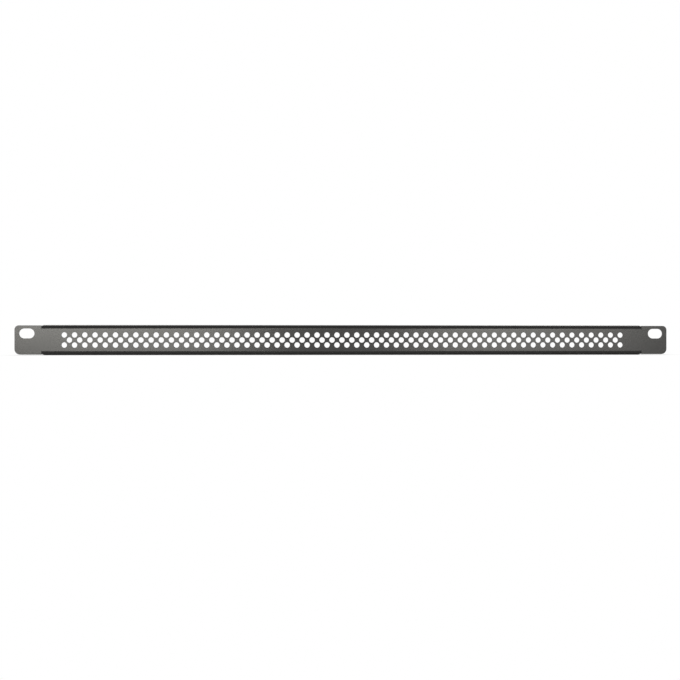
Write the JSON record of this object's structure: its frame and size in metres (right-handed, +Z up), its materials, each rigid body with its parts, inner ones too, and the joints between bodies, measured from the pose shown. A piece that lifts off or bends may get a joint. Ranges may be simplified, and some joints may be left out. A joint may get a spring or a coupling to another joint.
{
  "type": "vented rack blanking panel",
  "caption": "Half-unit blanking panel for a 19-inch rack: folded sheet with a perforated web, two flanges and slotted ears.",
  "frame": {"origin": "halfway between the two slots' centres, on the back of the ears, which is the plane that seats on the rack's rails", "axes": "+X along the width, +Z up as mounted, -Y out of the front face"},
  "size_m": [0.4826, 0.015, 0.022],
  "materials": {
    "powder_coat": "satin black powder coat on steel sheet"
  },
  "bodies": {
    "root": {"panel": "powder_coat"}
  },
  "joints": []
}
